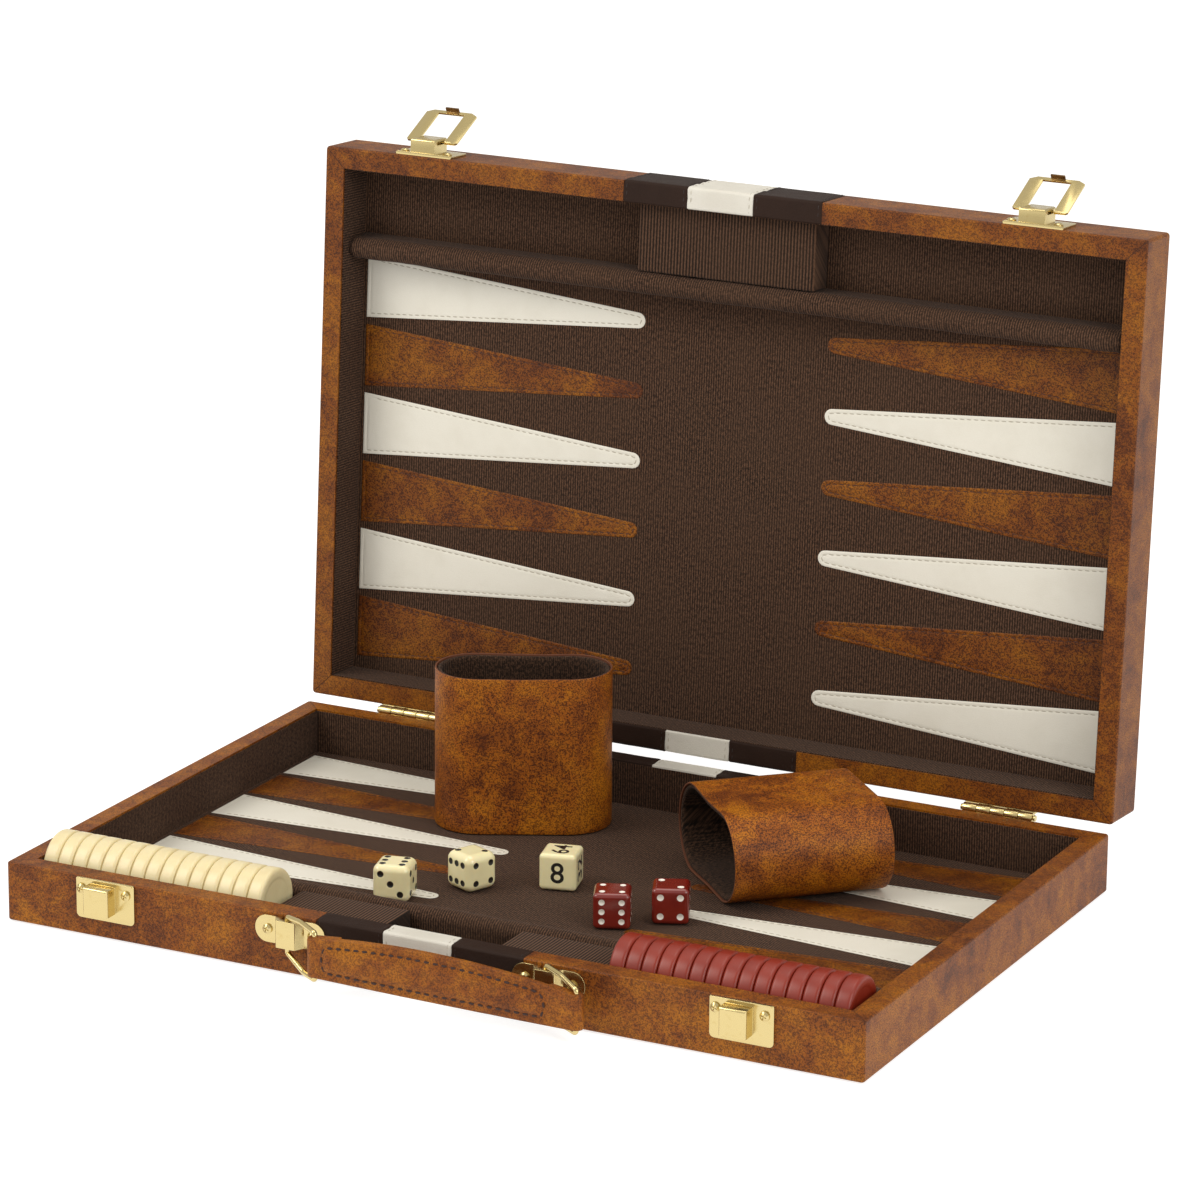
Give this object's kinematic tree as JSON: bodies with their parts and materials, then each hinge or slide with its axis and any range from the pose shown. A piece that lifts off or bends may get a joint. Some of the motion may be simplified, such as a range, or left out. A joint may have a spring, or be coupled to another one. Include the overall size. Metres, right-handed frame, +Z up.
{
  "type": "backgammon set",
  "caption": "Attache-style backgammon set: hinged leatherette case with sewn points, padded rails, brass latches, swinging carry handle, checkers, dice, doubling cube and oval dice cups.",
  "frame": {"origin": "centre of the base's underside", "axes": "+X along the case's long side, +Y from the latches towards the hinges, +Z up"},
  "size_m": [0.38, 0.31, 0.287],
  "materials": {
    "leatherette_tan": "satin",
    "leatherette_points": "satin",
    "vinyl_dark": "satin",
    "vinyl_white": "satin",
    "fabric_brown": "matte",
    "brass": "polished",
    "ivory": "gloss",
    "red": "gloss",
    "board": "leatherette wrapped"
  },
  "bodies": {
    "base": {"base_wall_front": "board", "base_wall_back": "board", "base_wall_left": "board", "base_wall_right": "board", "base_playfield": "fabric_brown", "base_points_white": "vinyl_white", "base_points_brown": "leatherette_points", "base_lining": "fabric_brown", "base_rail": "fabric_brown", "base_stripes_dark": "vinyl_dark", "base_stripe_white": "vinyl_white", "base_bottom_panel": "board", "base_gutter_blocks": "fabric_brown", "keeper_left": "brass", "keeper_right": "brass", "keeper_screws": "brass", "handle_bracket_left": "brass", "handle_bracket_right": "brass", "bracket_screws": "brass", "hinge_leaf_base_left": "brass", "hinge_leaf_base_right": "brass", "hinge_screws_base": "brass"},
    "hinge_pins": {"hinge_pins": "brass"},
    "lid": {"lid_wall_front": "board", "lid_wall_back": "board", "lid_wall_left": "board", "lid_wall_right": "board", "lid_playfield": "fabric_brown", "lid_points_white": "vinyl_white", "lid_points_brown": "leatherette_points", "lid_lining": "fabric_brown", "lid_rail": "fabric_brown", "lid_stripes_dark": "vinyl_dark", "lid_stripe_white": "vinyl_white", "lid_top_panel": "board", "lid_gutter_block": "fabric_brown", "latch_plate_left": "brass", "latch_plate_right": "brass", "latch_screws": "brass", "hinge_leaf_lid_left": "brass", "hinge_leaf_lid_right": "brass", "hinge_screws_lid": "brass"},
    "latch_slider_left": {"latch_slider_left": "brass"},
    "latch_slider_right": {"latch_slider_right": "brass"},
    "latch_loop_left": {"latch_loop_left": "brass"},
    "latch_loop_right": {"latch_loop_right": "brass"},
    "handle_ring_left": {"handle_ring_left": "brass"},
    "handle_strap": {"handle_strap": "leatherette_tan"},
    "handle_ring_right": {"handle_ring_right": "brass"},
    "cream_checkers": {"cream_checkers": "ivory"},
    "red_checkers": {"red_checkers": "red"},
    "cream_die_1": {"cream_die_1": "ivory"},
    "cream_die_2": {"cream_die_2": "ivory"},
    "red_die_1": {"red_die_1": "red"},
    "red_die_2": {"red_die_2": "red"},
    "doubling_cube": {"doubling_cube": "ivory"},
    "dice_cup_1": {"dice_cup_1": "leatherette_tan", "dice_cup_1_lining": "fabric_brown"},
    "dice_cup_2": {"dice_cup_2": "leatherette_tan", "dice_cup_2_lining": "fabric_brown"}
  },
  "joints": [
    {"name": "lid_fold_flat", "type": "hinge", "parent": "base", "child": "hinge_pins", "pos_m": [0, 0.12445, 0.0251], "axis": [-1, 0, 0], "range_deg": [0, 86.3]},
    {"name": "lid_close", "type": "hinge", "parent": "hinge_pins", "child": "lid", "pos_m": [0, 0.12445, 0.0251], "axis": [-1, 0, 0], "range_deg": [-93.7, 0]},
    {"name": "latch_left_draw", "type": "slide", "parent": "lid", "child": "latch_slider_left", "axis": [0, 0.9979, -0.0645], "range_m": [-0.0056, 0]},
    {"name": "latch_left_flip", "type": "hinge", "parent": "latch_slider_left", "child": "latch_loop_left", "pos_m": [-0.1439, 0.15178, 0.27571], "axis": [-1, 0, 0], "range_deg": [-151.1, 6]},
    {"name": "latch_right_draw", "type": "slide", "parent": "lid", "child": "latch_slider_right", "axis": [0, 0.9979, -0.0645], "range_m": [-0.0056, 0]},
    {"name": "latch_right_flip", "type": "hinge", "parent": "latch_slider_right", "child": "latch_loop_right", "pos_m": [0.1383, 0.15178, 0.27571], "axis": [-1, 0, 0], "range_deg": [-151.1, 6]},
    {"name": "handle_swing", "type": "hinge", "parent": "base", "child": "handle_ring_left", "pos_m": [-0.0573, -0.1249, 0.0164], "axis": [0, 0, 1], "range_deg": [-128, 8]},
    {"name": "handle_left_pivot", "type": "hinge", "parent": "handle_ring_left", "child": "handle_strap", "pos_m": [-0.03868, -0.13565, 0.0146], "axis": [0, 0, 1], "range_deg": [-8, 128]},
    {"name": "handle_right_swing", "type": "hinge", "parent": "base", "child": "handle_ring_right", "pos_m": [0.0573, -0.1249, 0.0164], "axis": [0, 0, 1], "range_deg": [-128, 8]},
    {"name": "dice_cup_1_lay_down", "type": "hinge", "parent": "base", "child": "dice_cup_1", "pos_m": [-0.07652, 0.04004, 0.00555], "axis": [-0.5072, 0.5161, 0.6902], "range_deg": [-155.47, 0]},
    {"name": "dice_cup_2_lift", "type": "slide", "parent": "base", "child": "dice_cup_2", "axis": [0, 0, 1], "range_m": [0, 0.08]},
    {"name": "cream_checkers_lift", "type": "slide", "parent": "base", "child": "cream_checkers", "axis": [0, 0, 1], "range_m": [0, 0.05]},
    {"name": "red_checkers_lift", "type": "slide", "parent": "base", "child": "red_checkers", "axis": [0, 0, 1], "range_m": [0, 0.05]},
    {"name": "cream_die_1_lift", "type": "slide", "parent": "base", "child": "cream_die_1", "axis": [0, 0, 1], "range_m": [0, 0.05]},
    {"name": "cream_die_2_lift", "type": "slide", "parent": "base", "child": "cream_die_2", "axis": [0, 0, 1], "range_m": [0, 0.05]},
    {"name": "red_die_1_lift", "type": "slide", "parent": "base", "child": "red_die_1", "axis": [0, 0, 1], "range_m": [0, 0.05]},
    {"name": "red_die_2_lift", "type": "slide", "parent": "base", "child": "red_die_2", "axis": [0, 0, 1], "range_m": [0, 0.05]},
    {"name": "doubling_cube_lift", "type": "slide", "parent": "base", "child": "doubling_cube", "axis": [0, 0, 1], "range_m": [0, 0.05]}
  ],
  "couplings": [
    {"joint": "handle_left_pivot", "follows": "handle_swing", "ratio": -1},
    {"joint": "handle_right_swing", "follows": "handle_swing", "ratio": 1},
    {"joint": "dice_cup_1_lay_down", "follows": "lid_close", "ratio": 1.659}
  ]
}
